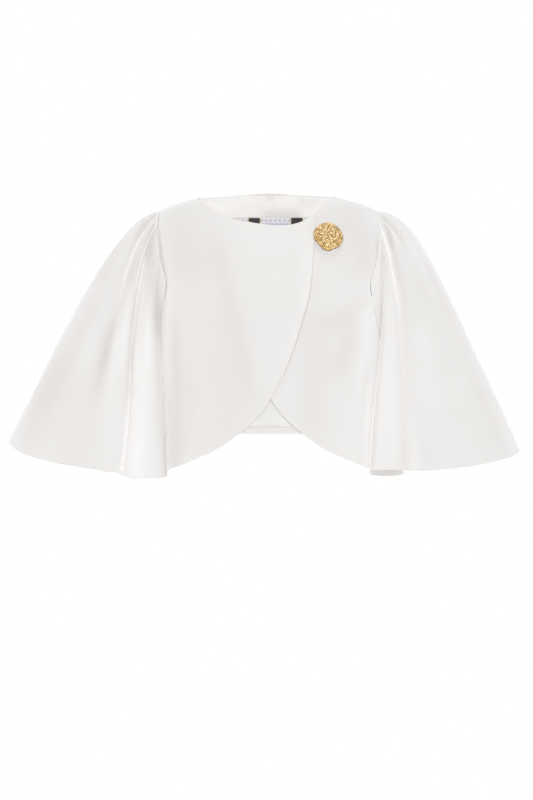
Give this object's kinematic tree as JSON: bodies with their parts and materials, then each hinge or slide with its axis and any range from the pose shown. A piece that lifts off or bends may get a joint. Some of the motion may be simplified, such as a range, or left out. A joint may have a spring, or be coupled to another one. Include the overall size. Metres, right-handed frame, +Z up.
{
  "type": "bolero jacket",
  "caption": "Cropped bolero jacket with rounded fronts, wide flared sleeves and a round metal button, held open in the shape it has when worn.",
  "frame": {"origin": "midway between the shoulder seams, at the middle height of their slope, where the wearer's shoulders carry the jacket", "axes": "+X to the wearer's left, -Y the way the wearer faces, +Z up"},
  "size_m": [0.847, 0.2453, 0.4767],
  "materials": {
    "crepe": "smooth matte crepe, warm white",
    "lining": "thin satin-faced lining, cool white",
    "label": "woven tag, lilac white with dark ends",
    "gold": "hammered gold-coloured metal"
  },
  "bodies": {
    "root": {"back": "crepe", "front_right": "crepe", "front_left": "crepe", "sleeve_right": "crepe", "sleeve_left": "crepe", "back_neck_facing": "crepe", "back_hem_turn": "crepe", "back_lining": "lining", "neck_label": "label", "button": "gold"}
  },
  "joints": []
}
